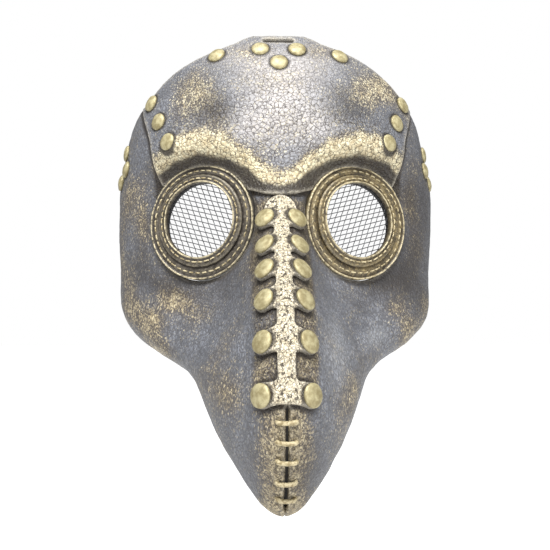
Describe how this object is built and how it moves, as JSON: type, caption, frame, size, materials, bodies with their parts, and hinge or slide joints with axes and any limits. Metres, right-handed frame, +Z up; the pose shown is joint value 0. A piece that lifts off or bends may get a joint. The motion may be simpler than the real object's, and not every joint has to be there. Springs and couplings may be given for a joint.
{
  "type": "plague doctor mask",
  "caption": "Riveted leather costume mask with a hooked hollow beak, round mesh eye windows and strap slots.",
  "frame": {"origin": "centre of the face opening on the plane of the rear edge, at eye height on the mid plane", "axes": "front of the mask and its beak face -Y, +Z is up, +X is the wearer's left"},
  "size_m": [0.196, 0.192, 0.2487],
  "materials": {
    "panel_leather": "satin",
    "gilt_leather": "satin",
    "dark_leather": "matte",
    "thread": "matte",
    "rivet_brass": "satin",
    "bezel_bronze": "satin",
    "wire_mesh": "satin",
    "retainer": "matte"
  },
  "bodies": {
    "root": {"beak_seam_backing": "dark_leather", "beak_stitches": "thread", "bezel_stitches_left": "thread", "bezel_stitches_right": "thread", "brow_rivet_caps_left": "rivet_brass", "brow_rivet_caps_right": "rivet_brass", "brow_rivets_left": "rivet_brass", "brow_rivets_right": "rivet_brass", "crown_rivet_caps": "rivet_brass", "crown_rivets": "rivet_brass", "eye_bezel_left": "bezel_bronze", "eye_bezel_right": "bezel_bronze", "eye_inner_ring_left": "bezel_bronze", "eye_inner_ring_right": "bezel_bronze", "eye_mesh_left": "wire_mesh", "eye_mesh_right": "wire_mesh", "face_panel_left": "panel_leather", "face_panel_right": "panel_leather", "forehead_plate": "panel_leather", "mesh_retainer_left": "retainer", "mesh_retainer_right": "retainer", "nose_rivet_caps_left": "rivet_brass", "nose_rivet_caps_right": "rivet_brass", "nose_rivets_left": "rivet_brass", "nose_rivets_right": "rivet_brass", "nose_strip": "gilt_leather", "temple_patch_left": "dark_leather", "temple_patch_right": "dark_leather", "temple_rivet_caps_left": "rivet_brass", "temple_rivet_caps_right": "rivet_brass", "temple_rivets_left": "rivet_brass", "temple_rivets_right": "rivet_brass"}
  },
  "joints": []
}
